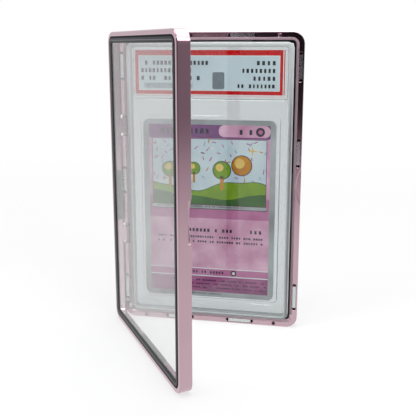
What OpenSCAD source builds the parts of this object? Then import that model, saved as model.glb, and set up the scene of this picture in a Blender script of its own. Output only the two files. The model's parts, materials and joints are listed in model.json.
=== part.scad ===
// Hinged display case for a trading card in a sealed slab.
// Two anodised frames, each with a clear pane in a black seal, close like a book on bar magnets.
// The rear half stands on its bottom edge and holds the slab; the front half swings on two pins.
// Axes: X across, Y away from the viewer, Z up. The origin is the middle of the rear frame's foot.

/* [Slab] */
// Width of the sealed slab that the case holds
slab_w = 77.5; // [76:0.5:90]
// Height of the sealed slab
slab_h = 133; // [132.5:0.5:150]
// Thickness of the sealed slab
slab_t = 6.4; // [5.6:0.1:6.6]
// Radius of the slab's corners
slab_r = 3.2; // [2:0.1:3.6]
// Width of the card
card_w = 63; // [59:0.5:64]
// Height of the card
card_h = 88; // [80:0.5:90]
// Thickness of the card
card_t = 0.4; // [0.2:0.05:0.6]
// Height of the card's lower edge above the slab's lower edge
card_up = 9.2; // [6:0.1:12]
// Width of the paper label
label_w = 69.6; // [60:0.1:70]
// Height of the paper label
label_h = 21.3; // [14:0.1:21.5]
// Height of the label's lower edge above the slab's lower edge
label_up = 108.1; // [106:0.1:108.3]

/* [Case] */
// Depth of one half, from its outside face to its mating face
half_depth = 5.3; // [5.2:0.1:6.5]
// Width of the frame's wall at the mating face
wall_w = 3.6; // [3.2:0.1:4.2]
// Width of the bevel on the inner edge of the mating face
bevel_w = 1.2; // [0.3:0.1:1.3]
// Radius of the case's outer corners
corner_r = 5.5; // [5.2:0.1:9]
// Width of the frame's outside rim, in front of the seal
rim_w = 2; // [1.8:0.1:2.2]
// Gap between the two mating faces when the case is shut
shut_gap = 0.15; // [0.1:0.05:0.3]
// Angle by which the front half stands open
open_angle = 55; // [0:1:105]

/* [Pane and seal] */
// Thickness of each clear pane
pane_t = 1; // [0.8:0.1:1.2]
// Width of the seal, from the rim to the clear opening
seal_w = 3; // [2.6:0.1:3.4]

/* [Hinge] */
// Distance of the hinge axis from the case's left side
hinge_inset = 1.4; // [1.3:0.1:1.5]
// Depth of the hinge axis behind the rear mating face
hinge_in = 1.75; // [1.7:0.05:2]
// Distance of each hinge from mid height
hinge_spread = 27; // [20:1:40]
// Length of each knuckle
knuckle_len = 7; // [5:0.5:9]
// Length of the pocket that each knuckle turns in
pocket_len = 10.4; // [9.6:0.2:14]
// Diameter of each hinge pin
hinge_pin_d = 1.2; // [1:0.1:1.4]

/* [Magnets and thumb notch] */
// Length of each magnet slot, over its round ends
slot_len = 13.6; // [11.8:0.2:15]
// Width of each magnet slot
slot_w = 1.7; // [1.4:0.1:1.8]
// Length of each bar magnet
magnet_len = 11; // [8:0.5:11.4]
// Length of the thumb notch along the case's side
notch_len = 17; // [10:0.5:17.5]
// Reach of the thumb notch across the mating face
notch_reach = 2; // [1:0.1:2]
// Depth of the thumb notch into each half, from its mating face
notch_rise = 1.3; // [0.8:0.1:2]

/* [Hidden] */

$fn = 96;
// Small overlap that makes a cut or a join clean
eps = 0.01;

// Rubber grip strips on the frames' inner walls, which hold the slab's edges
rear_strip_t = 0.85;
front_strip_t = 0.7;
strip_w = 2.2;
strip_edge = 0.1;
strip_from_ledge = 0.2;
side_strip_len = 24.6;
side_strip_up = -7;
end_strip_len = 28;
end_strip_across = 5.3;
slab_fit = 0.05;

// Overall size of the case
case_w = slab_w + 2 * (wall_w + rear_strip_t + slab_fit);
case_h = slab_h + 2 * (wall_w + rear_strip_t + slab_fit);

// Depths, measured from a half's outside face
seat_depth = pane_t + 0.8;
pane_front = 0.35;
edge_chamfer = 0.4;
mating_chamfer = 0.1;
bevel_depth = 0.9;
seal_proud = 0.15;
seal_slot = 0.5;
seal_band = rim_w + seal_w - 1.3;
seal_slope = 0.4;
seal_tip = 0.2;

// Where the halves and the hinge axis lie
shut_y = -(half_depth + shut_gap) / 2;
hinge_x = -case_w / 2 + hinge_inset;
hinge_y = -half_depth / 2 + hinge_in;

// Knuckles: their barrel, their tongue flush with the frame's inner wall, and the room round them
knuckle_r = 1.25;
tongue_short = 0.35;
pocket_back = 0.55;
pocket_side = 0.25;
pocket_mouth = hinge_in + 0.45;
pin_play = 0.05;
pin_anchor = 3;
hinge_heights = [-hinge_spread, hinge_spread];

// Magnet slots, measured from mid width and mid height
slot_inset = 1.55;
slot_depth = 3.2;
slot_mouth = 0.08;
magnet_w = 1.64;
magnet_edge = 0.08;
magnet_sunk = 0.12;
slot_end_up = 55.3;
slot_right_mid_up = 15.7;
slot_across = 15;
left_slots = [-slot_end_up, 0, slot_end_up];
right_slots = [-slot_end_up, slot_right_mid_up, slot_end_up];
end_slots = [-slot_across, slot_across];

// Alignment pins in the front frame and their holes in the rear frame
dowel_d = 1.4;
dowel_hole_d = 1.9;
dowel_out = 1;
dowel_in = 2.4;
dowel_hole_depth = 1.2;
dowel_hole_point = 0.5;
dowel_across = 32;
dowel_inset = 1.5;

// Slab shells: their edge, the lip round the outside, the steps in it and the wells inside
parting = 0.04;
shell_t = (slab_t - parting) / 2;
shell_edge_r = 1.5;
lip_w = 1.7;
lip_step = 0.2;
well_play = 0.3;
well_gap = 0.03;
label_t = 0.3;
relief = 0.25;
relief_r = 2;
label_relief_r = 1.6;
card_margin = 3.6;
label_margin = 3;
lip_r = 1.5;
card_r = 3;
label_r = 0.6;
slab_y0 = -slab_h / 2;
card_mid = slab_y0 + card_up + card_h / 2;
label_mid = slab_y0 + label_up + label_h / 2;
slab_out = half_depth + shut_gap / 2 - slab_t / 2;

// Thumb notch: an arc on the mating face, cut straight down into the half, with a bevelled edge
notch_edge = 0.35;
notch_r = (pow(notch_len / 2, 2) + pow(notch_reach, 2)) / (2 * notch_reach);

// Profiles of the rings: distance in from the case's side, then depth from the outside face
frame_profile = [
    [edge_chamfer, 0], [rim_w, 0], [rim_w, seat_depth], [wall_w, seat_depth],
    [wall_w, half_depth - bevel_depth], [wall_w - bevel_w, half_depth],
    [mating_chamfer, half_depth], [0, half_depth - mating_chamfer], [0, edge_chamfer]
];
seal_profile = [
    [rim_w, 0.05], [rim_w + 0.2, -seal_proud], [seal_band, -seal_proud],
    [seal_band + seal_slope, 0.1], [rim_w + seal_w, seal_tip], [rim_w + seal_w, pane_front],
    [rim_w + seal_slot, pane_front], [rim_w + seal_slot, pane_front + pane_t],
    [rim_w + seal_w, pane_front + pane_t], [rim_w + seal_w, seat_depth], [rim_w, seat_depth]
];
shell_edge_profile = [
    for (turn = [0:10:90]) shell_edge_r * [1 - cos(turn), 1 - sin(turn)],
    [slab_r, 0], [slab_r, shell_t], [0, shell_t]
];

// Colours
rose = [0.74, 0.60, 0.63];
seal_black = [0.14, 0.14, 0.15];
clear = [0.86, 0.92, 0.93, 0.35];
slab_clear = [0.80, 0.85, 0.86, 0.35];
nickel = [0.78, 0.82, 0.82];
rubber_grey = [0.50, 0.51, 0.53];
steel = [0.62, 0.62, 0.64];
label_red = [0.78, 0.05, 0.08];
card_lilac = [0.68, 0.48, 0.66];

// Flat outlines

module rounded_rect(w, h, r) {
    square([w - 2 * r, h], center = true);
    square([w, h - 2 * r], center = true);
    for (x = [-1, 1], y = [-1, 1])
        translate([x * (w / 2 - r), y * (h / 2 - r)]) circle(r);
}

module pill(len, wid) {
    square([len - wid, wid], center = true);
    for (x = [-1, 1]) translate([x * (len - wid) / 2, 0]) circle(wid / 2);
}

// A ring of one profile round a rectangle with round corners

module rail(along, across, r, profile) {
    translate([-along / 2 + r, 0, 0])
        rotate([90, 0, 90])
            linear_extrude(along - 2 * r)
                polygon([for (p = profile) [across / 2 - p[0], p[1]]]);
}

module ring(w, h, r, profile) {
    for (side = [0, 1]) mirror([0, side, 0]) rail(w, h, r, profile);
    for (side = [0, 1]) mirror([side, 0, 0]) rotate([0, 0, -90]) rail(h, w, r, profile);
    for (sx = [0, 1], sy = [0, 1])
        mirror([sx, 0, 0]) mirror([0, sy, 0])
            translate([w / 2 - r, h / 2 - r, 0])
                rotate_extrude(angle = 90)
                    polygon([for (p = profile) [r - p[0], p[1]]]);
}

// From a half's own axes (across, up, depth from its outside face) to where it stands

module rear_half() {
    translate([0, half_depth / 2, case_h / 2]) rotate([90, 0, 0]) children();
}

module shut_front_half() {
    translate([0, 2 * shut_y, 0]) mirror([0, 1, 0]) rear_half() children();
}

module front_half() {
    translate([hinge_x, hinge_y, 0])
        rotate([0, 0, -open_angle])
            translate([-hinge_x, -hinge_y, 0]) shut_front_half() children();
}

// What both halves share

// A magnet's slot, with a small bevel at its mouth: wedges along the sides, cones at the round ends
module slot_cut() {
    straight = slot_len - slot_w;
    r = slot_w / 2;
    mouth_r = r + slot_mouth + eps;
    translate([0, 0, half_depth - slot_depth])
        linear_extrude(slot_depth + eps) pill(slot_len, slot_w);
    translate([-straight / 2, 0, half_depth])
        rotate([90, 0, 90]) linear_extrude(straight)
            polygon([[-r, -slot_mouth], [r, -slot_mouth], [mouth_r, eps], [-mouth_r, eps]]);
    for (x = [-1, 1]) translate([x * straight / 2, 0, half_depth - slot_mouth])
        cylinder(h = slot_mouth + eps, r1 = r, r2 = mouth_r);
}

module on_left(heights) {
    for (y = heights)
        translate([-case_w / 2 + slot_inset, y, 0]) rotate([0, 0, 90]) children();
}

module on_right(heights) {
    for (y = heights)
        translate([case_w / 2 - slot_inset, y, 0]) rotate([0, 0, 90]) children();
}

module on_end(side, places) {
    for (x = places)
        translate([x, side * (case_h / 2 - slot_inset), 0]) children();
}

module all_slots() {
    on_left(left_slots) slot_cut();
    on_right(right_slots) slot_cut();
    for (side = [-1, 1]) on_end(side, end_slots) slot_cut();
}

module bar_magnet() {
    side = magnet_w / 2;
    top = slot_depth - magnet_sunk;
    translate([-magnet_len / 2, 0, half_depth - slot_depth])
        rotate([90, 0, 90]) linear_extrude(magnet_len)
            polygon([
                [-side, 0], [side, 0], [side, top - magnet_edge], [side - magnet_edge, top],
                [magnet_edge - side, top], [-side, top - magnet_edge]
            ]);
}

module thumb_notch() {
    translate([case_w / 2 + notch_r - notch_reach, 0, half_depth]) {
        translate([0, 0, -notch_rise]) cylinder(h = notch_rise + eps, r = notch_r, $fn = 160);
        translate([0, 0, -notch_edge])
            cylinder(h = notch_edge + eps, r1 = notch_r, r2 = notch_r + notch_edge + eps, $fn = 160);
    }
}

module half_frame() {
    difference() {
        ring(case_w, case_h, corner_r, frame_profile);
        all_slots();
        thumb_notch();
    }
}

module half_pane() {
    pane_in = 2 * (rim_w + seal_slot);
    translate([0, 0, pane_front])
        linear_extrude(pane_t)
            rounded_rect(case_w - pane_in, case_h - pane_in, corner_r - rim_w - seal_slot);
}

module half_seal() {
    ring(case_w, case_h, corner_r, seal_profile);
}

// A strip along X, glued on by its face at Y = 0, with bevelled long edges towards +Y
module grip_strip(len, thick) {
    translate([-len / 2, 0, 0]) rotate([90, 0, 90]) linear_extrude(len)
        polygon([
            [0, 0], [thick - strip_edge, 0], [thick, strip_edge],
            [thick, strip_w - strip_edge], [thick - strip_edge, strip_w], [0, strip_w]
        ]);
}

module side_strip(side, thick) {
    translate([side * (case_w / 2 - wall_w), side_strip_up, seat_depth + strip_from_ledge])
        rotate([0, 0, side * 90]) grip_strip(side_strip_len, thick);
}

module end_strip(side, thick) {
    translate([end_strip_across, side * (case_h / 2 - wall_w), seat_depth + strip_from_ledge])
        mirror([0, (side + 1) / 2, 0]) grip_strip(end_strip_len, thick);
}

module at_dowels() {
    for (x = [-dowel_across, dowel_across], side = [-1, 1])
        translate([x, side * (case_h / 2 - dowel_inset), half_depth]) children();
}

// Rear half

// A drilled hole with a pointed floor
module dowel_hole() {
    translate([0, 0, -dowel_hole_depth]) {
        cylinder(h = dowel_hole_depth + eps, d = dowel_hole_d);
        translate([0, 0, -dowel_hole_point])
            cylinder(h = dowel_hole_point, d1 = 0, d2 = dowel_hole_d);
    }
}

module hinge_pockets() {
    pocket_depth = hinge_in + knuckle_r + pocket_back;
    pocket_reach = hinge_inset + knuckle_r + pocket_side;
    for (y = hinge_heights) {
        translate([-case_w / 2 - eps, y - pocket_len / 2, half_depth - pocket_depth])
            cube([pocket_reach + eps, pocket_len, pocket_depth + eps]);
        translate([-case_w / 2 - eps, y - pocket_len / 2, half_depth - pocket_mouth])
            cube([wall_w + 2 * eps, pocket_len, pocket_mouth + eps]);
    }
}

// The rear frame's edge beside the hinge is round about its axis, so that the front half clears it
module hinge_round() {
    translate([-case_w / 2, 0, half_depth - hinge_in]) difference() {
        translate([-eps, -case_h / 2 - eps, 0])
            cube([hinge_inset, case_h + 2 * eps, hinge_in + eps]);
        translate([hinge_inset, 0, 0]) rotate([90, 0, 0])
            cylinder(h = case_h + 1, r = hinge_in + shut_gap / 2, center = true);
    }
}

module hinge_pin(up, d) {
    translate([-case_w / 2 + hinge_inset, up, half_depth - hinge_in])
        rotate([90, 0, 0]) cylinder(h = pocket_len + 2 * pin_anchor, d = d, center = true);
}

module rear_frame() {
    color(rose) rear_half() difference() {
        half_frame();
        hinge_pockets();
        hinge_round();
        for (y = hinge_heights) hinge_pin(y, hinge_pin_d);
        at_dowels() dowel_hole();
    }
}

module rear_pane() {
    color(clear) rear_half() half_pane();
}

module rear_seal() {
    color(seal_black) rear_half() half_seal();
}

module rear_magnets_left() {
    color(nickel) rear_half() on_left(left_slots) bar_magnet();
}

module rear_magnets_right() {
    color(nickel) rear_half() on_right(right_slots) bar_magnet();
}

module rear_magnets_top() {
    color(nickel) rear_half() on_end(1, end_slots) bar_magnet();
}

module rear_magnets_bottom() {
    color(nickel) rear_half() on_end(-1, end_slots) bar_magnet();
}

module rear_strip_left() {
    color(rubber_grey) rear_half() side_strip(-1, rear_strip_t);
}

module rear_strip_right() {
    color(rubber_grey) rear_half() side_strip(1, rear_strip_t);
}

module rear_strip_top() {
    color(rubber_grey) rear_half() end_strip(1, rear_strip_t);
}

module rear_strip_bottom() {
    color(rubber_grey) rear_half() end_strip(-1, rear_strip_t);
}

module upper_hinge_pin() {
    color(steel) rear_half() hinge_pin(hinge_spread, hinge_pin_d);
}

module lower_hinge_pin() {
    color(steel) rear_half() hinge_pin(-hinge_spread, hinge_pin_d);
}

// Slab, held in the rear half's grip strips

// Half of the flat space that a card or a label lies in
module well_cut(w, h, r, mid, thick) {
    translate([0, mid, slab_t / 2 - thick / 2 - well_gap])
        linear_extrude(thick) rounded_rect(w + well_play, h + well_play, r);
}

// A shallow step down in the outside face, whose sides slope at 45 degrees
module step_cut(w, h, r, mid, top, depth) {
    floor_at = depth + eps;
    translate([0, mid, top - eps]) {
        linear_extrude(floor_at) rounded_rect(w - 2 * depth, h - 2 * depth, r - depth);
        ring(w + 2 * eps, h + 2 * eps, r + eps, [[0, 0], [floor_at, floor_at], [r, floor_at], [r, 0]]);
    }
}

module slab_shell() {
    lip_in = 2 * lip_w;
    translate([0, 0, slab_out]) difference() {
        union() {
            ring(slab_w, slab_h, slab_r, shell_edge_profile);
            linear_extrude(shell_t)
                square([slab_w - 2 * slab_r + eps, slab_h - 2 * slab_r + eps], center = true);
        }
        well_cut(card_w, card_h, card_r, card_mid, card_t);
        well_cut(label_w, label_h, label_r, label_mid, label_t);
        step_cut(slab_w - lip_in, slab_h - lip_in, lip_r, 0, 0, lip_step);
        step_cut(card_w + card_margin, card_h + card_margin, relief_r, card_mid, lip_step, relief);
        step_cut(
            label_w + label_margin, label_h + label_margin, label_relief_r, label_mid, lip_step, relief
        );
    }
}

module slab_rear_shell() {
    color(slab_clear) rear_half() slab_shell();
}

module slab_front_shell() {
    color(slab_clear) shut_front_half() slab_shell();
}

module slab_sheet(w, h, r, mid, thick) {
    translate([0, mid, half_depth + shut_gap / 2 - thick / 2])
        linear_extrude(thick) rounded_rect(w, h, r);
}

module slab_label() {
    color(label_red) rear_half() slab_sheet(label_w, label_h, label_r, label_mid, label_t);
}

module trading_card() {
    color(card_lilac) rear_half() slab_sheet(card_w, card_h, card_r, card_mid, card_t);
}

// Front half, which swings

module knuckle(up) {
    axis_depth = half_depth + shut_gap + hinge_in;
    root = half_depth - 1;
    translate([-case_w / 2 + hinge_inset, up, 0]) difference() {
        union() {
            translate([0, 0, axis_depth]) rotate([90, 0, 0])
                cylinder(h = knuckle_len, r = knuckle_r, center = true);
            translate([-knuckle_r, -knuckle_len / 2, root])
                cube([2 * knuckle_r, knuckle_len, axis_depth - root]);
            translate([0, -knuckle_len / 2, root])
                cube([wall_w - hinge_inset, knuckle_len, axis_depth - tongue_short - root]);
        }
        translate([0, 0, axis_depth]) rotate([90, 0, 0])
            cylinder(h = knuckle_len + 1, d = hinge_pin_d + 2 * pin_play, center = true);
    }
}

module front_frame() {
    color(rose) front_half() {
        difference() {
            half_frame();
            at_dowels() translate([0, 0, -dowel_in]) cylinder(h = dowel_in + eps, d = dowel_d);
        }
        for (y = hinge_heights) knuckle(y);
    }
}

module front_pane() {
    color(clear) front_half() half_pane();
}

module front_seal() {
    color(seal_black) front_half() half_seal();
}

module front_magnets_left() {
    color(nickel) front_half() on_left(left_slots) bar_magnet();
}

module front_magnets_right() {
    color(nickel) front_half() on_right(right_slots) bar_magnet();
}

module front_magnets_top() {
    color(nickel) front_half() on_end(1, end_slots) bar_magnet();
}

module front_magnets_bottom() {
    color(nickel) front_half() on_end(-1, end_slots) bar_magnet();
}

module front_strip_left() {
    color(rubber_grey) front_half() side_strip(-1, front_strip_t);
}

module front_strip_right() {
    color(rubber_grey) front_half() side_strip(1, front_strip_t);
}

module front_strip_top() {
    color(rubber_grey) front_half() end_strip(1, front_strip_t);
}

module front_strip_bottom() {
    color(rubber_grey) front_half() end_strip(-1, front_strip_t);
}

module alignment_pins() {
    color(steel) front_half() at_dowels() translate([0, 0, -dowel_in])
        cylinder(h = dowel_in + dowel_out, d = dowel_d);
}

rear_frame();
rear_pane();
rear_seal();
rear_magnets_left();
rear_magnets_right();
rear_magnets_top();
rear_magnets_bottom();
rear_strip_left();
rear_strip_right();
rear_strip_top();
rear_strip_bottom();
upper_hinge_pin();
lower_hinge_pin();
slab_rear_shell();
slab_front_shell();
slab_label();
trading_card();
front_frame();
front_pane();
front_seal();
front_magnets_left();
front_magnets_right();
front_magnets_top();
front_magnets_bottom();
front_strip_left();
front_strip_right();
front_strip_top();
front_strip_bottom();
alignment_pins();
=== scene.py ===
import json
import math

import bmesh
import bpy
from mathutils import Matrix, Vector


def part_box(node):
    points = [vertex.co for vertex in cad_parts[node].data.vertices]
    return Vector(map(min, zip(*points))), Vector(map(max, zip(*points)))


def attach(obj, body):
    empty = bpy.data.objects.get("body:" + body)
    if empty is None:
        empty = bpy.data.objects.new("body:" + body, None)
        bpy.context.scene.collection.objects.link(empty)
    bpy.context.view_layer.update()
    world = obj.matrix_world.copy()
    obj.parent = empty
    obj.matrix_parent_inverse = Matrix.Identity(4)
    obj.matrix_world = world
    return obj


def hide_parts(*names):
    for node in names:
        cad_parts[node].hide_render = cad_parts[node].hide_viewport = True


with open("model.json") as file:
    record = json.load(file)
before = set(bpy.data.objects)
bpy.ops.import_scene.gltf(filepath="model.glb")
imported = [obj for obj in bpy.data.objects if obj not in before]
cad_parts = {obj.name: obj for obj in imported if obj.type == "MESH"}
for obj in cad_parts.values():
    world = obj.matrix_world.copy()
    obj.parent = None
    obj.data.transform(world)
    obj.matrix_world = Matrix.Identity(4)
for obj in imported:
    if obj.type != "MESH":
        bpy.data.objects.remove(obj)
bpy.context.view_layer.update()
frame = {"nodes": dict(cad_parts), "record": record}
MM = 0.001

# Camera: it stands a little to the right of the case and looks slightly down on it. Its place and
# lens come from the case's own edges and the card's corners in the photograph.
eye = Vector((51.7, -293.85, 136.4)) * MM
turned_left = math.radians(10.23)
tipped_down = math.radians(11.51)
focal_pixels = 630.1
picture_side = 416
principal_row = 172.6

camera_data = bpy.data.cameras.new("photo_camera")
camera_data.sensor_width = 36
camera_data.lens = focal_pixels / picture_side * camera_data.sensor_width
camera_data.shift_y = (principal_row - picture_side / 2) / picture_side
camera_data.clip_start = 0.01
camera = bpy.data.objects.new("photo_camera", camera_data)
camera.location = eye
camera.rotation_euler = (math.pi / 2 - tipped_down, 0, turned_left)
bpy.context.collection.objects.link(camera)
bpy.context.scene.camera = camera
bpy.context.scene.view_settings.view_transform = "Standard"


# Studio: a white table top that runs out of sight, a white surround, and a dim room in front, which
# is what darkens the upper part of the polished frames. The table keeps the case's shadow.
def new_material(name):
    material = bpy.data.materials.new(name)
    material.use_nodes = True
    material.node_tree.nodes.clear()
    return material


def add(tree, kind, **settings):
    node = tree.nodes.new(kind)
    for key, value in settings.items():
        setattr(node, key, value)
    return node


def joined(tree, *pairs):
    for source, target in pairs:
        tree.links.new(source, target)


def maths(tree, operation, first, second, clamp=False):
    node = add(tree, "ShaderNodeMath", operation=operation, use_clamp=clamp)
    for socket, value in zip(node.inputs, (first, second)):
        if isinstance(value, (int, float)):
            socket.default_value = value
        else:
            tree.links.new(value, socket)
    return node.outputs[0]


def spread(tree, value, low, high, start=0.3, end=0.7, smooth=False):
    reach = add(tree, "ShaderNodeMapRange", interpolation_type="SMOOTHSTEP" if smooth else "LINEAR")
    for key, number in {"From Min": start, "From Max": end, "To Min": low, "To Max": high}.items():
        reach.inputs[key].default_value = number
    joined(tree, (value, reach.inputs["Value"]))
    return reach.outputs[0]


ROOM_DIM = 0.15
ROOM_WHITE = 0.88
STAND_EDGE = (0.07, 0.2)
BEHIND_EDGE = (-0.1, 0.1)
WALL_EDGE = (-0.98, 0.6)


def seen_room(tree, way):
    """How bright the room is that way, as polished metal shows it: white behind the case, dim in
    front, and all but black just where the camera stands. The edges are where each part begins and
    ends, along the direction's x or y."""
    level = add(tree, "ShaderNodeVectorMath", operation="NORMALIZE")
    parts = add(tree, "ShaderNodeSeparateXYZ")
    joined(tree, (way, level.inputs[0]), (level.outputs[0], parts.inputs[0]))
    aside = maths(tree, "ABSOLUTE", parts.outputs["X"], 0)
    stand = spread(tree, aside, 0.0, 1.0, *STAND_EDGE, smooth=True)
    behind = spread(tree, parts.outputs["Y"], 0.0, 1.0, *BEHIND_EDGE)
    walls = spread(tree, parts.outputs["Y"], ROOM_DIM, ROOM_WHITE, *WALL_EDGE, smooth=True)
    return maths(tree, "MULTIPLY", walls, maths(tree, "MAXIMUM", stand, behind)), parts.outputs["Z"]


TABLE_REACH = 4.0
TABLE_DROP = 0.2 * MM
TABLE_GREY = 0.88
TABLE_GLOW = 0.62
GLOW_EDGE = (0.15, 0.6)
PAINTED_POOL_STRETCH = (0.9, 1.2, 1.0)
PAINTED_POOL_REACH = 0.95
DIM_TINT = (1.0, 0.76, 0.92)
WHITE = (1, 1, 1)
FIRST_COLOUR = 6
SECOND_COLOUR = 7
MIXED_COLOUR = 2


def two_tones(tree, share, first, second):
    """From the first colour at a share of 0 to the second at 1; each is a colour or a socket. A Mix
    node's sockets for colours are known by their numbers, because its other kinds share their names."""
    tones = add(tree, "ShaderNodeMix", data_type="RGBA")
    joined(tree, (share, tones.inputs["Factor"]))
    for number, colour in ((FIRST_COLOUR, first), (SECOND_COLOUR, second)):
        if isinstance(colour, tuple):
            tones.inputs[number].default_value = (*colour, 1)
        else:
            joined(tree, (colour, tones.inputs[number]))
    return tones.outputs[MIXED_COLOUR]


def tinted_light(tree, kind, strength):
    """A light whose dim parts are a little rosy, as the room in front of the case is."""
    light = add(tree, kind)
    tint = two_tones(tree, strength, DIM_TINT, WHITE)
    joined(tree, (tint, light.inputs["Color"]), (strength, light.inputs["Strength"]))
    return light


table_material = new_material("white_table")
tree = table_material.node_tree
place = add(tree, "ShaderNodeTexCoord")
stretched = add(tree, "ShaderNodeVectorMath", operation="MULTIPLY")
stretched.inputs[1].default_value = PAINTED_POOL_STRETCH
length = add(tree, "ShaderNodeVectorMath", operation="LENGTH")
joined(
    tree,
    (place.outputs["Object"], stretched.inputs[0]),
    (stretched.outputs[0], length.inputs[0]),
)
# Painted pool of light: in reflections the table glows, brightest round the case and fading to the
# room's level.
painted_pool = spread(tree, length.outputs["Value"], 1.0, 0.0, 0.0, PAINTED_POOL_REACH, smooth=True)
room_level, _ = seen_room(tree, place.outputs["Object"])
past_painted_pool = maths(tree, "MULTIPLY", room_level, maths(tree, "SUBTRACT", 1.0, painted_pool))
near_or_far = maths(tree, "MAXIMUM", room_level, maths(tree, "ADD", painted_pool, past_painted_pool))
mirrored = tinted_light(tree, "ShaderNodeEmission", near_or_far)
rays = add(tree, "ShaderNodeLightPath")
cloth = add(tree, "ShaderNodeBsdfDiffuse")
cloth.inputs["Color"].default_value = (TABLE_GREY, TABLE_GREY, TABLE_GREY, 1)
glow = add(tree, "ShaderNodeEmission")
blend = add(tree, "ShaderNodeMixShader")
seen = add(tree, "ShaderNodeMixShader")
result = add(tree, "ShaderNodeOutputMaterial")
through = rays.outputs["Is Transmission Ray"]
direct = maths(tree, "MAXIMUM", rays.outputs["Is Camera Ray"], through)
only_mirrored = maths(tree, "SUBTRACT", rays.outputs["Is Glossy Ray"], through, clamp=True)
white_far = spread(tree, length.outputs["Value"], TABLE_GLOW, 1.0, *GLOW_EDGE, smooth=True)
joined(
    tree,
    (maths(tree, "MULTIPLY", direct, white_far), blend.inputs[0]),
    (cloth.outputs[0], blend.inputs[1]),
    (glow.outputs[0], blend.inputs[2]),
    (only_mirrored, seen.inputs[0]),
    (blend.outputs[0], seen.inputs[1]),
    (mirrored.outputs[0], seen.inputs[2]),
    (seen.outputs[0], result.inputs[0]),
)

table_mesh = bpy.data.meshes.new("table_top")
quarters = ((-1, -1), (1, -1), (1, 1), (-1, 1))
corners = [(x * TABLE_REACH, y * TABLE_REACH, -TABLE_DROP) for x, y in quarters]
table_mesh.from_pydata(corners, [], [(0, 1, 2, 3)])
table_mesh.materials.append(table_material)
table_top = bpy.data.objects.new("table_top", table_mesh)
bpy.context.collection.objects.link(table_top)

FILL = 0.45
OVERHEAD = 2.6
OVERHEAD_EDGE = (0.62, 0.8)

world = bpy.data.worlds.new("studio")
bpy.context.scene.world = world
world.use_nodes = True
tree = world.node_tree
tree.nodes.clear()
place = add(tree, "ShaderNodeTexCoord")
room_level, height = seen_room(tree, place.outputs["Generated"])
overhead = spread(tree, height, 0.0, OVERHEAD, *OVERHEAD_EDGE, smooth=True)
room = tinted_light(tree, "ShaderNodeBackground", maths(tree, "MAXIMUM", room_level, overhead))
rays = add(tree, "ShaderNodeLightPath")
white = add(tree, "ShaderNodeBackground")
fill = add(tree, "ShaderNodeBackground")
for light, strength in ((white, 1.0), (fill, FILL)):
    light.inputs["Color"].default_value = (*WHITE, 1)
    light.inputs["Strength"].default_value = strength
lit = add(tree, "ShaderNodeMixShader")
seen = add(tree, "ShaderNodeMixShader")
result = add(tree, "ShaderNodeOutputWorld")
direct = maths(tree, "MAXIMUM", rays.outputs["Is Camera Ray"], rays.outputs["Is Transmission Ray"])
joined(
    tree,
    (rays.outputs["Is Glossy Ray"], lit.inputs[0]),
    (fill.outputs[0], lit.inputs[1]),
    (room.outputs[0], lit.inputs[2]),
    (direct, seen.inputs[0]),
    (lit.outputs[0], seen.inputs[1]),
    (white.outputs[0], seen.inputs[2]),
    (seen.outputs[0], result.inputs[0]),
)


def softbox(name, place, aim, side, watts):
    """A square lamp; its place, its aim and its side are in metres."""
    lamp = bpy.data.lights.new(name, "AREA")
    lamp.shape = "SQUARE"
    lamp.size = side
    lamp.energy = watts
    box = bpy.data.objects.new(name, lamp)
    box.location = place
    box.rotation_euler = (Vector(aim) - Vector(place)).to_track_quat("-Z", "Y").to_euler()
    bpy.context.collection.objects.link(box)


middle = (0.0, -0.02, 0.07)
softbox("softbox_above", (0.05, -0.1, 0.9), middle, 0.5, 3.5)
softbox("softbox_left", (-0.8, -0.5, 0.5), middle, 0.5, 3.0)
softbox("softbox_right", (0.75, -0.7, 0.85), middle, 0.5, 3.8)
softbox("softbox_behind", (0.1, 0.75, 0.95), middle, 0.8, 2.0)


# Anodised frames: each half of the case is a milled aluminium ring, blasted, then anodised rose. The
# front ring carries the hinge knuckles, and both have a thumb notch, magnet slots and dowel holes.
# The colour goes black inside these and other hollows as painted shade, by how closed in each point is.
ROSE_LIGHT = (0.56, 0.405, 0.45)
ROSE_DEEP = (0.50, 0.355, 0.40)
HOLLOW_SHADE = (0.02, 0.016, 0.018)
SHADE_REACH = 3 * MM
SHADE_EDGES = (0.12, 0.4)
ROSE_POLISH = (0.13, 0.18)
BLAST_SCALE = 2600
DYE_SCALE = 55
nodes = frame["nodes"]


def principled(tree, colour, **sockets):
    shader = add(tree, "ShaderNodeBsdfPrincipled")
    if colour is not None:
        shader.inputs["Base Color"].default_value = (*colour, 1)
    for key, value in sockets.items():
        shader.inputs[key.replace("_", " ")].default_value = value
    return shader


def speckle(tree, scale, detail=2.0, roughness=0.5):
    place = add(tree, "ShaderNodeTexCoord")
    noise = add(tree, "ShaderNodeTexNoise")
    noise.inputs["Scale"].default_value = scale
    noise.inputs["Detail"].default_value = detail
    noise.inputs["Roughness"].default_value = roughness
    joined(tree, (place.outputs["Object"], noise.inputs["Vector"]))
    return noise.outputs["Fac"]


def grain(tree, shader, value, height, strength):
    bump = add(tree, "ShaderNodeBump")
    bump.inputs["Strength"].default_value = strength
    bump.inputs["Distance"].default_value = height
    joined(tree, (value, bump.inputs["Height"]), (bump.outputs[0], shader.inputs["Normal"]))


def finish_with(tree, shader):
    result = add(tree, "ShaderNodeOutputMaterial")
    joined(tree, (shader.outputs[0], result.inputs[0]))


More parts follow.
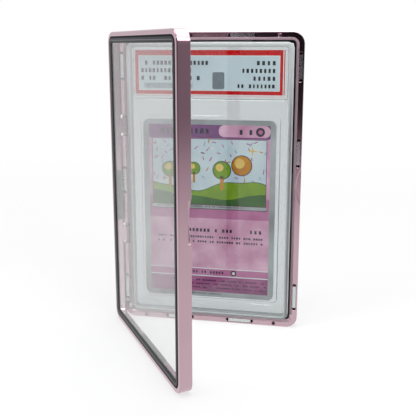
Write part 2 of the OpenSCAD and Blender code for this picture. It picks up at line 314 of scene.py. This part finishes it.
def anodised_rose():
    material = new_material("anodised_rose")
    tree = material.node_tree
    metal = principled(tree, None, Metallic=1.0)
    blast = speckle(tree, BLAST_SCALE, 3.0, 0.6)
    dye = speckle(tree, DYE_SCALE)
    # Painted shade: hollows go black by how closed in they are.
    open_air = add(tree, "ShaderNodeAmbientOcclusion", samples=8, only_local=True)
    open_air.inputs["Distance"].default_value = SHADE_REACH
    unshaded = spread(tree, open_air.outputs["AO"], 0.0, 1.0, *SHADE_EDGES)
    colour = two_tones(tree, unshaded, HOLLOW_SHADE, two_tones(tree, dye, ROSE_DEEP, ROSE_LIGHT))
    polish = spread(tree, blast, *ROSE_POLISH)
    joined(tree, (colour, metal.inputs["Base Color"]), (polish, metal.inputs["Roughness"]))
    grain(tree, metal, blast, 0.002 * MM, 0.3)
    finish_with(tree, metal)
    return material


def dress(node, material):
    mesh = nodes[node].data
    mesh.materials.clear()
    mesh.materials.append(material)


rose = anodised_rose()
for node in ("rear_frame", "front_frame"):
    dress(node, rose)


# Clear panes: a flat sheet of polished clear glass in each half, held at its edge by the seal.
# Lamps shine through it, so that what is behind stays lit.
PANE_TINT = (0.853, 0.86, 0.857)
PANE_SHADOW = (0.95, 0.96, 0.96)
GLASS_IOR = 1.5


def clear_sheet(name, tint, shadow_tint, ior, roughness):
    """The material, with its tree and its glass for what is added to them."""
    material = new_material(name)
    tree = material.node_tree
    glass = principled(tree, tint, IOR=ior, Transmission_Weight=1.0, Roughness=roughness)
    lamp = add(tree, "ShaderNodeBsdfTransparent")
    lamp.inputs["Color"].default_value = (*shadow_tint, 1)
    rays = add(tree, "ShaderNodeLightPath")
    choice = add(tree, "ShaderNodeMixShader")
    result = add(tree, "ShaderNodeOutputMaterial")
    joined(
        tree,
        (rays.outputs["Is Shadow Ray"], choice.inputs[0]),
        (glass.outputs[0], choice.inputs[1]),
        (lamp.outputs[0], choice.inputs[2]),
        (choice.outputs[0], result.inputs[0]),
    )
    return material, tree, glass


pane_glass, _, _ = clear_sheet("pane_glass", PANE_TINT, PANE_SHADOW, GLASS_IOR, 0.0)
for node in ("rear_pane", "front_pane"):
    dress(node, pane_glass)


# Seals: a moulded black rubber channel round the edge of each pane, pressed into the frame. A thin
# lighter line along the crest of its lip is a painted highlight, and its foot beside the frame is dull.
CASE_CORNER = 5.5 * MM
CREST = 3.8 * MM
CREST_WIDTH = 0.25 * MM
FOOT = 2.6 * MM
SEAL_BLACK = (0.012, 0.0125, 0.016)
SEAL_HIGHLIGHT = (0.17, 0.177, 0.19)
FOOT_ROUGHNESS = 0.95
LIP_ROUGHNESS = 0.34
swing = frame["record"]["behaviour"]["joints"][0]


def in_from_side(tree, place, low, high, corner):
    """How far in from a box's rounded outline a point is, seen from in front."""
    steps = {
        "middle": ("SUBTRACT", (low + high) / 2),
        "mirrored": ("ABSOLUTE", (0, 0, 0)),
        "core": ("SUBTRACT", (high - low) / 2 - Vector((corner, 0, corner))),
        "outside core": ("MAXIMUM", (0, 0, 0)),
        "flat": ("MULTIPLY", (1, 0, 1)),
        "far": ("LENGTH", (0, 0, 0)),
    }
    for label, (operation, amount) in steps.items():
        step = add(tree, "ShaderNodeVectorMath", operation=operation, label=label)
        step.inputs[1].default_value = amount
        joined(tree, (place, step.inputs[0]))
        place = step.outputs[0]
    return maths(tree, "SUBTRACT", corner, step.outputs["Value"])


def seal_rubber(name, turned):
    """Rubber for the seal of a half that is turned this far from shut when at rest."""
    material = new_material(name)
    tree = material.node_tree
    rubber = principled(tree, None, Specular_IOR_Level=0.13)
    place = add(tree, "ShaderNodeTexCoord")
    shut = add(tree, "ShaderNodeVectorRotate", rotation_type="Z_AXIS")
    shut.inputs["Center"].default_value = swing["pos_m"]
    shut.inputs["Angle"].default_value = turned
    joined(tree, (place.outputs["Object"], shut.inputs["Vector"]))
    inward = in_from_side(tree, shut.outputs[0], *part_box("rear_frame"), CASE_CORNER)
    # Painted highlight: a thin lighter line along the lip's crest.
    off_crest = maths(tree, "ABSOLUTE", maths(tree, "SUBTRACT", inward, CREST), 0)
    painted_highlight = spread(tree, off_crest, 1.0, 0.0, 0.0, CREST_WIDTH)
    tones = two_tones(tree, painted_highlight, SEAL_BLACK, SEAL_HIGHLIGHT)
    foot_end = FOOT + CREST_WIDTH
    dullness = spread(tree, inward, FOOT_ROUGHNESS, LIP_ROUGHNESS, FOOT, foot_end)
    joined(tree, (tones, rubber.inputs["Base Color"]), (dullness, rubber.inputs["Roughness"]))
    grain(tree, rubber, speckle(tree, 3000), 0.004 * MM, 0.3)
    finish_with(tree, rubber)
    return material


open_at_rest = math.radians(-swing["range_deg"][0])
dress("rear_seal", seal_rubber("rear_seal_rubber", 0.0))
dress("front_seal", seal_rubber("front_seal_rubber", open_at_rest))


# Bar magnets: nickel plated bars glued into the slots of both mating faces. They face each other in
# pairs, and hold the case shut.
NICKEL = (0.60, 0.64, 0.64)
NICKEL_POLISH = (0.22, 0.32)


def nickel_plate():
    material = new_material("nickel_plate")
    tree = material.node_tree
    metal = principled(tree, NICKEL, Metallic=1.0)
    polish = spread(tree, speckle(tree, 2500, 3.0), *NICKEL_POLISH)
    joined(tree, (polish, metal.inputs["Roughness"]))
    finish_with(tree, metal)
    return material


nickel = nickel_plate()
for half in ("rear", "front"):
    for side in ("left", "right", "top", "bottom"):
        dress(f"{half}_magnets_{side}", nickel)


# Hinge and alignment pins: ground steel wire, cut to length. The hinge pins sit in the rear frame and
# turn in the front frame's knuckles. The alignment pins stand in the front frame.
STEEL = (0.56, 0.56, 0.58)
STEEL_POLISH = (0.22, 0.4)


def ground_steel():
    material = new_material("ground_steel")
    tree = material.node_tree
    metal = principled(tree, STEEL, Metallic=1.0)
    polish = spread(tree, speckle(tree, 1500), *STEEL_POLISH)
    joined(tree, (polish, metal.inputs["Roughness"]))
    finish_with(tree, metal)
    return material


steel = ground_steel()
for node in ("upper_hinge_pin", "lower_hinge_pin", "alignment_pins"):
    dress(node, steel)


# Grip strips: firm grey silicone strips glued to the frames' inner walls. They take the slab's edges
# and keep it from rattling.
SILICONE_DARK = (0.03, 0.031, 0.034)
SILICONE_PALE = (0.055, 0.057, 0.061)


def grey_silicone():
    material = new_material("grey_silicone")
    tree = material.node_tree
    silicone = principled(tree, None, Roughness=0.62, Specular_IOR_Level=0.35)
    skin = speckle(tree, 1400, 3.0, 0.6)
    tones = two_tones(tree, skin, SILICONE_DARK, SILICONE_PALE)
    joined(tree, (tones, silicone.inputs["Base Color"]))
    grain(tree, silicone, skin, 0.015 * MM, 0.6)
    finish_with(tree, silicone)
    return material


silicone = grey_silicone()
for half in ("rear", "front"):
    for side in ("left", "right", "top", "bottom"):
        dress(f"{half}_strip_{side}", silicone)


# Slab shells: two clear mouldings that seal the card and its label inside. The outer rim, where they
# are welded to each other, is frosted by the weld and milky at the side. Round the lower part, the
# outer band on its face is painted darker grey as shade.
SLAB_TINT = (0.823, 0.845, 0.854)
SLAB_SHADOW = (0.93, 0.95, 0.95)
PLASTIC_IOR = 1.46
WELD_DARK = (0.42, 0.44, 0.45)
WELD_MILKY = (0.86, 0.89, 0.90)
WELD_SHADE = (0.24, 0.25, 0.255)
WELD_ROUGHNESS = 0.45
FACE_MILK = 0.55
SIDE_MILK = 0.85
SLAB_CORNER = 3.2 * MM
FROST_BAND = 2.2 * MM
SIDE_BAND = 0.45 * MM
SHADE_BELOW = 90 * MM
SHADE_FADE = 40 * MM


def clear_plastic():
    material, tree, plastic = clear_sheet("slab_plastic", SLAB_TINT, SLAB_SHADOW, PLASTIC_IOR, 0.02)
    place = add(tree, "ShaderNodeTexCoord")
    parts = add(tree, "ShaderNodeSeparateXYZ")
    joined(tree, (place.outputs["Object"], parts.inputs[0]))
    rim = in_from_side(tree, place.outputs["Object"], *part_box("slab_front_shell"), SLAB_CORNER)
    frost = spread(tree, rim, 1.0, 0.0, FROST_BAND * 0.8, FROST_BAND, smooth=True)
    outermost = spread(tree, rim, 1.0, 0.0, FROST_BAND * 0.4, FROST_BAND * 0.9)
    height = parts.outputs["Z"]
    # Painted shade: the outer band of the face goes grey towards the bottom.
    lower_shade = spread(tree, height, 1.0, 0.0, SHADE_BELOW, SHADE_BELOW + SHADE_FADE, smooth=True)
    side = spread(tree, rim, 1.0, 0.0, 0.0, SIDE_BAND)
    on_face = maths(tree, "SUBTRACT", 1.0, side)
    shade_share = maths(tree, "MULTIPLY", on_face, maths(tree, "MULTIPLY", outermost, lower_shade))
    weld = maths(tree, "MAXIMUM", speckle(tree, 1500, 3.0, 0.7), side)
    mottled = two_tones(tree, weld, WELD_DARK, WELD_MILKY)
    shaded = two_tones(tree, shade_share, mottled, WELD_SHADE)
    milk = spread(tree, side, FACE_MILK, SIDE_MILK, 0.0, 1.0)
    milky = maths(tree, "MULTIPLY", frost, milk)
    joined(
        tree,
        (two_tones(tree, frost, SLAB_TINT, shaded), plastic.inputs["Base Color"]),
        (maths(tree, "MULTIPLY", frost, WELD_ROUGHNESS), plastic.inputs["Roughness"]),
        (maths(tree, "SUBTRACT", 1.0, milky), plastic.inputs["Transmission Weight"]),
    )
    return material


slab_plastic = clear_plastic()
for node in ("slab_rear_shell", "slab_front_shell"):
    dress(node, slab_plastic)


# Printed card: a stiff card with rounded corners and a silver border, in the slab's lower well. Its
# print is a landscape of its own in a window over plain panels, built of thin ink films that lie on
# the card's face, with rows of short marks and a scatter of confetti.
INK = 0.02 * MM
CARD_FILMS = 9
LETTER_PITCH = 1.3
SHORTEST = 0.6
STRAY = 0.4
FLECK_LENGTH = 2.4 * MM
FLECK_WIDTH = 0.5 * MM
FLECK_TURN = 1.5


def rounded_outline(left, right, low, high, radius, steps=8):
    outline = []
    for x, z, start in ((right, high, 0), (left, high, 90), (left, low, 180), (right, low, 270)):
        centre_x = x - radius if x == right else x + radius
        centre_z = z - radius if z == high else z + radius
        for step in range(steps + 1):
            angle = math.radians(start + 90 * step / steps)
            outline.append((centre_x + radius * math.cos(angle), centre_z + radius * math.sin(angle)))
    return outline


def sheet_edges(node):
    """Left, right, low and high of a sheet's CAD solid, in millimetres from its lower left corner."""
    low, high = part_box(node)
    return 0, (high.x - low.x) / MM, 0, (high.z - low.z) / MM


def within(edges, side_margin, end_margin):
    left, right, low, high = edges
    return left + side_margin, right - side_margin, low + end_margin, high - end_margin


def box_outline(left, right, low, high):
    return [(right, high), (left, high), (left, low), (right, low)]


def disc_outline(x, z, radius, steps=40):
    turns = [2 * math.pi * step / steps for step in range(steps)]
    return [(x + radius * math.cos(turn), z + radius * math.sin(turn)) for turn in turns]


def star_outline(x, z, radius, waist, points=4):
    """A star; its waist is how near the middle its inner corners are, as a share of the radius."""
    outline = []
    for step in range(2 * points):
        reach = radius if step % 2 == 0 else radius * waist
        turn = math.pi * step / points + math.pi / 2
        outline.append((x + reach * math.cos(turn), z + reach * math.sin(turn)))
    return outline


def hill_outline(left, right, low, base, waves, steps=40):
    """Ground from left to right. Its skyline is a sum of waves: height, number of waves, start."""
    skyline = []
    for step in range(steps + 1):
        share = step / steps
        turn = 2 * math.pi * share
        height = sum(size * math.sin(count * turn + begin) for size, count, begin in waves)
        skyline.append((right + (left - right) * share, base + height))
    return skyline + [(left, low), (right, low)]


def add_film(maker, outline, front, back, colour):
    """A flat piece of ink or paper with this outline, from its front face back to its back face."""
    near = [maker.verts.new((x, front, z)) for x, z in outline]
    far = [maker.verts.new((x, back, z)) for x, z in outline]
    faces = [maker.faces.new(near), maker.faces.new(far[::-1])]
    for index in range(len(outline)):
        after = (index + 1) % len(outline)
        faces.append(maker.faces.new((near[index], far[index], far[after], near[after])))
    for face in faces:
        face.material_index = colour


def marks_tree():
    """A grid of short flat marks: some are left out, and length, place and turn vary by chance."""
    tree = bpy.data.node_groups.new("printed_marks", "GeometryNodeTree")
    kinds = {
        "Wide": "Float", "High": "Float", "Columns": "Int", "Rows": "Int", "Length": "Float",
        "Thickness": "Float", "Depth": "Float", "Left Out": "Float", "Scatter": "Vector",
        "Turn": "Float", "Place": "Vector", "Seed": "Int", "Ink": "Material",
    }
    for name, kind in kinds.items():
        tree.interface.new_socket(name=name, in_out="INPUT", socket_type=f"NodeSocket{kind}")
    tree.interface.new_socket(name="Geometry", in_out="OUTPUT", socket_type="NodeSocketGeometry")
    given = add(tree, "NodeGroupInput").outputs
    grid = add(tree, "GeometryNodeMeshGrid")
    moved = add(tree, "GeometryNodeSetPosition")
    kept = add(tree, "GeometryNodeDeleteGeometry", domain="POINT")
    mark = add(tree, "GeometryNodeMeshCube")
    placed = add(tree, "GeometryNodeInstanceOnPoints")
    size = add(tree, "ShaderNodeCombineXYZ")
    turned = add(tree, "ShaderNodeCombineXYZ")
    real = add(tree, "GeometryNodeRealizeInstances")
    stood = add(tree, "GeometryNodeTransform")
    inked = add(tree, "GeometryNodeSetMaterial")
    result = add(tree, "NodeGroupOutput")
    back = add(tree, "ShaderNodeVectorMath", operation="SCALE")
    scattered = add(tree, "FunctionNodeRandomValue", data_type="FLOAT_VECTOR")
    dropped = add(tree, "FunctionNodeRandomValue", data_type="BOOLEAN")
    share = add(tree, "FunctionNodeRandomValue", data_type="FLOAT")
    spin = add(tree, "FunctionNodeRandomValue", data_type="FLOAT")
    # A random value's sockets for a plain number, and for yes or no
    least = 2
    most = 3
    number = 1
    yes_or_no = 3
    back.inputs["Scale"].default_value = -1
    share.inputs[least].default_value = SHORTEST
    share.inputs[most].default_value = 1.0
    stood.inputs["Rotation"].default_value = (math.pi / 2, 0, 0)
    for node in (scattered, dropped, share, spin):
        joined(tree, (given["Seed"], node.inputs["Seed"]))
    joined(
        tree,
        (given["Wide"], grid.inputs["Size X"]),
        (given["High"], grid.inputs["Size Y"]),
        (given["Columns"], grid.inputs["Vertices X"]),
        (given["Rows"], grid.inputs["Vertices Y"]),
        (given["Scatter"], back.inputs[0]),
        (back.outputs[0], scattered.inputs[0]),
        (given["Scatter"], scattered.inputs[1]),
        (grid.outputs["Mesh"], moved.inputs["Geometry"]),
        (scattered.outputs[0], moved.inputs["Offset"]),
        (given["Left Out"], dropped.inputs["Probability"]),
        (moved.outputs[0], kept.inputs["Geometry"]),
        (dropped.outputs[yes_or_no], kept.inputs["Selection"]),
        (maths(tree, "MULTIPLY", given["Length"], share.outputs[number]), size.inputs["X"]),
        (given["Thickness"], size.inputs["Y"]),
        (given["Depth"], size.inputs["Z"]),
        (maths(tree, "MULTIPLY", given["Turn"], -1), spin.inputs[least]),
        (given["Turn"], spin.inputs[most]),
        (spin.outputs[number], turned.inputs["Z"]),
        (kept.outputs[0], placed.inputs["Points"]),
        (mark.outputs["Mesh"], placed.inputs["Instance"]),
        (turned.outputs[0], placed.inputs["Rotation"]),
        (size.outputs[0], placed.inputs["Scale"]),
        (placed.outputs[0], stood.inputs["Geometry"]),
        (given["Place"], stood.inputs["Translation"]),
        (stood.outputs[0], real.inputs[0]),
        (real.outputs[0], inked.inputs["Geometry"]),
        (given["Ink"], inked.inputs["Material"]),
        (inked.outputs[0], result.inputs[0]),
    )
    return tree


marks = marks_tree()
mark_inputs = [item for item in marks.interface.items_tree if item.in_out == "INPUT"]
mark_sockets = {item.name: item.identifier for item in mark_inputs}


def printed_marks(ink, place, **settings):
    """The marks as a plain mesh, from the tree's named inputs."""
    holder = bpy.data.objects.new("marks", bpy.data.meshes.new("marks"))
    bpy.context.collection.objects.link(holder)
    modifier = holder.modifiers.new("marks", "NODES")
    modifier.node_group = marks
    for name, value in {"Depth": INK, "Place": place, "Ink": ink, **settings}.items():
        modifier[mark_sockets[name.replace("_", " ")]] = value
    bpy.context.view_layer.update()
    grown = holder.evaluated_get(bpy.context.evaluated_depsgraph_get())
    mesh = bpy.data.meshes.new_from_object(grown)
    bpy.data.objects.remove(holder)
    return mesh


def printed_sheet(name, node, films, paper, inks, layers, rows, reverse=()):
    """A sheet in place of its CAD solid. Front layers and rows are given in millimetres from the
    sheet's lower left corner, with the number of films under each; reverse layers lie on its back."""
    low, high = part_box(node)
    colours = list(inks)
    front = low.y + films * INK
    back = high.y - len(reverse) * INK
    maker = bmesh.new()

    def at_corner(outline):
        return [(low.x + x * MM, low.z + z * MM) for x, z in outline]

    add_film(maker, at_corner(paper), front, back, 0)
    for outline, under, colour in layers:
        near = front - (under + 1) * INK
        add_film(maker, at_corner(outline), near, near + 0.99 * INK, colours.index(colour))
    for number, (outline, colour) in enumerate(reverse):
        near = back + number * INK
        add_film(maker, at_corner(outline), near + 0.01 * INK, near + INK, colours.index(colour))
    bmesh.ops.recalc_face_normals(maker, faces=maker.faces)
    for (x, z), under, colour, settings in rows:
        place = (low.x + x * MM, front - (under + 0.5) * INK, low.z + z * MM)
        before = len(maker.faces)
        maker.from_mesh(printed_marks(inks[colour], place, **settings))
        maker.faces.ensure_lookup_table()
        for face in maker.faces[before:]:
            face.material_index = colours.index(colour)
    mesh = bpy.data.meshes.new(name)
    maker.to_mesh(mesh)
    maker.free()
    for ink_material in inks.values():
        mesh.materials.append(ink_material)
    sheet = bpy.data.objects.new(name, mesh)
    bpy.context.collection.objects.link(sheet)
    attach(sheet, "rear_half")
    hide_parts(node)


def ink(name, first, second, scale, roughness=0.5, detail=3.0):
    """A printed colour that wanders between two tones."""
    material = new_material(name)
    tree = material.node_tree
    print_face = principled(tree, None, Roughness=roughness, Specular_IOR_Level=0.08)
    mottling = spread(tree, speckle(tree, scale, detail), 0.0, 1.0)
    joined(tree, (two_tones(tree, mottling, first, second), print_face.inputs["Base Color"]))
    finish_with(tree, print_face)
    return material


def text_rows(wide, rows, leading, letter, seed, left_out=0.14):
    """Rows of marks the size of letters, in millimetres, with gaps left out for the words."""
    long, high = letter
    columns = max(2, round(wide / (LETTER_PITCH * long)))
    return {
        "Wide": wide * MM, "High": leading * (rows - 1) * MM, "Columns": columns, "Rows": rows,
        "Length": long * MM, "Thickness": high * MM, "Left_Out": left_out, "Seed": seed,
    }


def confetti(wide, high, columns, rows, left_out, seed):
    """Short marks thrown over a field, in millimetres, each its own way."""
    stray = (STRAY * wide / (columns - 1) * MM, STRAY * high / (rows - 1) * MM, 0)
    return {
        "Wide": wide * MM, "High": high * MM, "Columns": columns, "Rows": rows,
        "Length": FLECK_LENGTH, "Thickness": FLECK_WIDTH, "Left_Out": left_out,
        "Scatter": stray, "Turn": FLECK_TURN, "Seed": seed,
    }


card_inks = {
    "silver": ink("ink_silver", (0.14, 0.15, 0.155), (0.52, 0.55, 0.55), 30, 0.4, 4.0),
    "rose": ink("ink_rose", (0.47, 0.18, 0.31), (0.76, 0.47, 0.60), 90, detail=8.0),
    "magenta": ink("ink_magenta", (0.36, 0.08, 0.22), (0.54, 0.21, 0.37), 90, detail=8.0),
    "plum": ink("ink_plum", (0.20, 0.04, 0.13), (0.42, 0.13, 0.28), 90, detail=8.0),
    "purple": ink("ink_purple", (0.12, 0.035, 0.13), (0.24, 0.08, 0.25), 60, detail=5.0),
    "sky": ink("ink_sky", (0.42, 0.54, 0.62), (0.70, 0.77, 0.77), 60, detail=6.0),
    "green": ink("ink_green", (0.14, 0.26, 0.012), (0.24, 0.40, 0.02), 120),
    "deep_green": ink("ink_deep_green", (0.03, 0.10, 0.02), (0.06, 0.17, 0.03), 120),
    "orange": ink("ink_orange", (0.42, 0.16, 0.01), (0.66, 0.29, 0.02), 120),
    "yellow": ink("ink_yellow", (0.70, 0.46, 0.10), (0.80, 0.58, 0.16), 200),
    "navy": ink("ink_navy", (0.018, 0.016, 0.03), (0.035, 0.03, 0.055), 200),
    "slate": ink("ink_slate", (0.20, 0.32, 0.42), (0.30, 0.42, 0.52), 200),
    "pale": ink("ink_pale", (0.62, 0.66, 0.68), (0.76, 0.79, 0.80), 200),
}
FAR_WAVES = [(2.4, 1.1, 0.2), (0.7, 2.7, 1.0)]
NEAR_WAVES = [(1.8, 0.8, 2.6), (0.5, 2.2, 0.0)]
CARD_CORNER = 3
card_edges = sheet_edges("trading_card")
card_middle = (card_edges[1] / 2, card_edges[3] / 2)
panel_edges = within(card_edges, 2.7, 2.4)
picture_edges = (4.2, 58.8, 46.6, 79.0)
sky_edges = within(picture_edges, 0.25, 0.25)
left, right, low, high = panel_edges
ground_edges = sky_edges[:3]
badge = (55.6, 82.6)
sun = (47, 66.5)
dot = (43.5, 12.6)
confetti_middle = (31.5, 68.5)
card_layers = [
    # Panels, and the badge in the top strip
    (rounded_outline(*panel_edges, 0.6), 0, "rose"),
    (box_outline(left, right, 40, 50.5), 1, "magenta"),
    (rounded_outline(left, right, 79.2, high, 0.6), 1, "purple"),
    (rounded_outline(36, right, 79.9, high, 2.6), 2, "rose"),
    (disc_outline(*badge, 2.1), 3, "navy"),
    (disc_outline(*badge, 1.1), 4, "magenta"),
    # Landscape: its frame, the sky, the sun and the hills
    (box_outline(*picture_edges), 2, "navy"),
    (box_outline(*sky_edges), 3, "sky"),
    (disc_outline(*sun, 5.0), 4, "navy"),
    (disc_outline(*sun, 4.6), 5, "orange"),
    (disc_outline(46, 67.5, 2.4), 6, "yellow"),
    (hill_outline(*ground_edges, 56.6, FAR_WAVES), 4, "navy"),
    (hill_outline(*ground_edges, 56.3, FAR_WAVES), 5, "green"),
    (hill_outline(*ground_edges, 51.8, NEAR_WAVES), 6, "deep_green"),
    # Silver bar under the landscape, then the strips at the card's foot
    (rounded_outline(3.6, 59.4, 44.6, 46.2, 0.7), 2, "navy"),
    (rounded_outline(3.8, 59.2, 44.9, 46.5, 0.7), 3, "silver"),
    (box_outline(left, right, low, 10.6), 1, "plum"),
    (box_outline(left, right, 10.6, 14.6), 1, "magenta"),
    (box_outline(left, right, 14.3, 14.7), 2, "pale"),
    (box_outline(left, right, 10.4, 10.9), 2, "pale"),
    (disc_outline(*dot, 1.4), 3, "navy"),
    (disc_outline(*dot, 0.8), 4, "pale"),
]
card_stars = ((17, 72, 3.2, "pale"), (52, 73.6, 3.0, "yellow"), (33, 74.5, 2.2, "pale"))
for x, z, radius, colour in card_stars:
    card_layers.append((star_outline(x, z, radius, 0.16), 4, colour))
card_trees = ((13, 56.5, 1.0), (24, 58.6, 0.8), (37.5, 55.4, 1.15))
for x, base, size in card_trees:
    card_layers.extend([
        (box_outline(x - 0.7 * size, x + 0.7 * size, base - 1, base + 5 * size), 7, "orange"),
        (disc_outline(x, base + 7.5 * size, 3.9 * size), 6, "navy"),
        (disc_outline(x, base + 7.5 * size, 3.6 * size), 7, "green"),
        (disc_outline(x - 0.9 * size, base + 8.6 * size, 1.6 * size), 8, "yellow"),
    ])
card_rows = [
    (confetti_middle, 3.9, "magenta", confetti(50, 16, 15, 6, 0.62, 3)),
    (confetti_middle, 3.9, "orange", confetti(50, 16, 13, 5, 0.74, 8)),
    (confetti_middle, 3.9, "slate", confetti(50, 16, 12, 5, 0.74, 21)),
    ((31.0, 34.0), 1, "navy", text_rows(22, 1, 0, (1.3, 1.6), 5)),
    ((54.0, 34.0), 1, "navy", text_rows(4.4, 1, 0, (1.2, 1.7), 2, 0.0)),
    ((32.0, 29.4), 1, "navy", text_rows(50, 2, 2.4, (0.9, 1.0), 9, 0.24)),
    ((28.0, 12.6), 3, "navy", text_rows(20, 1, 0, (1.0, 1.2), 4)),
    ((36.0, 6.4), 2, "navy", text_rows(46, 3, 1.9, (0.85, 0.75), 6, 0.26)),
    ((20.0, 82.6), 2, "navy", text_rows(21, 1, 0, (1.9, 2.4), 12, 0.1)),
    ((48.8, 82.4), 3, "navy", text_rows(4.6, 1, 0, (1.6, 2.3), 7, 0.0)),
    ((28.0, 45.9), 4, "navy", text_rows(42, 1, 0, (0.6, 0.5), 14, 0.2)),
    ((22.0, 1.4), 1, "navy", text_rows(30, 1, 0, (0.6, 0.5), 15, 0.2)),
]
card_reverse = [
    (rounded_outline(*within(card_edges, 2.6, 2.6), 1.2), "purple"),
    (rounded_outline(*within(card_edges, 5.4, 5.4), 1.2), "magenta"),
    (rounded_outline(*within(card_edges, 6.4, 6.4), 1.0), "purple"),
    (star_outline(*card_middle, 19, 0.62, 8), "rose"),
    (disc_outline(*card_middle, 10), "purple"),
    (disc_outline(*card_middle, 8.6), "silver"),
]
card_paper = rounded_outline(*card_edges, CARD_CORNER)
printed_sheet(
    "printed_card", "trading_card", CARD_FILMS, card_paper,
    card_inks, card_layers, card_rows, card_reverse,
)


# Label: a strip of printed paper in the slab's upper well. It has a red frame, printed a little off
# the paper's middle, round a pale blue ground with short rules, a grey patch and a row of bars.
LABEL_FILMS = 4
label_inks = {
    "paper": ink("label_paper", (0.78, 0.78, 0.78), (0.84, 0.84, 0.84), 300, 0.6),
    "red": ink("label_red", (0.56, 0.0015, 0.004), (0.64, 0.003, 0.006), 300, 0.6),
    "blush": ink("label_blush", (0.74, 0.42, 0.44), (0.78, 0.48, 0.50), 300, 0.6),
    "ground": ink("label_ground", (0.58, 0.69, 0.74), (0.66, 0.76, 0.80), 70, 0.6),
    "black": ink("label_black", (0.014, 0.014, 0.017), (0.03, 0.03, 0.035), 300, 0.6),
    "slate": ink("label_slate", (0.12, 0.15, 0.18), (0.22, 0.26, 0.29), 200, 0.6),
}
LABEL_CORNER = 0.6
LARGE_LETTER = (1.35, 1.9)
SMALL_LETTER = (1.2, 1.7)
BAR = (0.45, 2.4)
label_edges = sheet_edges("slab_label")
left, right, low, high = within(label_edges, 0.05, 0.05)
label_layers = [
    (box_outline(left, 68.7, 0.9, high), 0, "red"),
    (box_outline(69.15, right, 0.9, high), 0, "red"),
    (box_outline(left, right, low, 0.35), 0, "blush"),
    (box_outline(1.6, 67.35, 2.6, 18.8), 1, "paper"),
    (box_outline(1.95, 66.9, 3.0, 18.35), 2, "ground"),
    (rounded_outline(36.2, 41.8, 3.4, 11.2, 0.8), 3, "slate"),
]
label_rows = [
    ((18.5, 15.4), 3, "black", text_rows(30, 1, 0, LARGE_LETTER, 11)),
    ((14.5, 11.9), 3, "black", text_rows(22, 1, 0, LARGE_LETTER, 12)),
    ((16.5, 8.4), 3, "black", text_rows(26, 1, 0, LARGE_LETTER, 13)),
    ((61.0, 15.4), 3, "black", text_rows(7.2, 1, 0, LARGE_LETTER, 14, 0.0)),
    ((57.6, 11.9), 3, "black", text_rows(14, 1, 0, LARGE_LETTER, 15, 0.05)),
    ((60.2, 8.4), 3, "black", text_rows(8.8, 1, 0, LARGE_LETTER, 16, 0.0)),
    ((56.4, 4.9), 3, "black", text_rows(16, 1, 0, SMALL_LETTER, 17, 0.05)),
    ((15.5, 4.9), 3, "slate", text_rows(22, 1, 0, BAR, 18, 0.1)),
]
label_paper = rounded_outline(*label_edges, LABEL_CORNER)
printed_sheet(
    "printed_label", "slab_label", LABEL_FILMS, label_paper,
    label_inks, label_layers, label_rows,
)
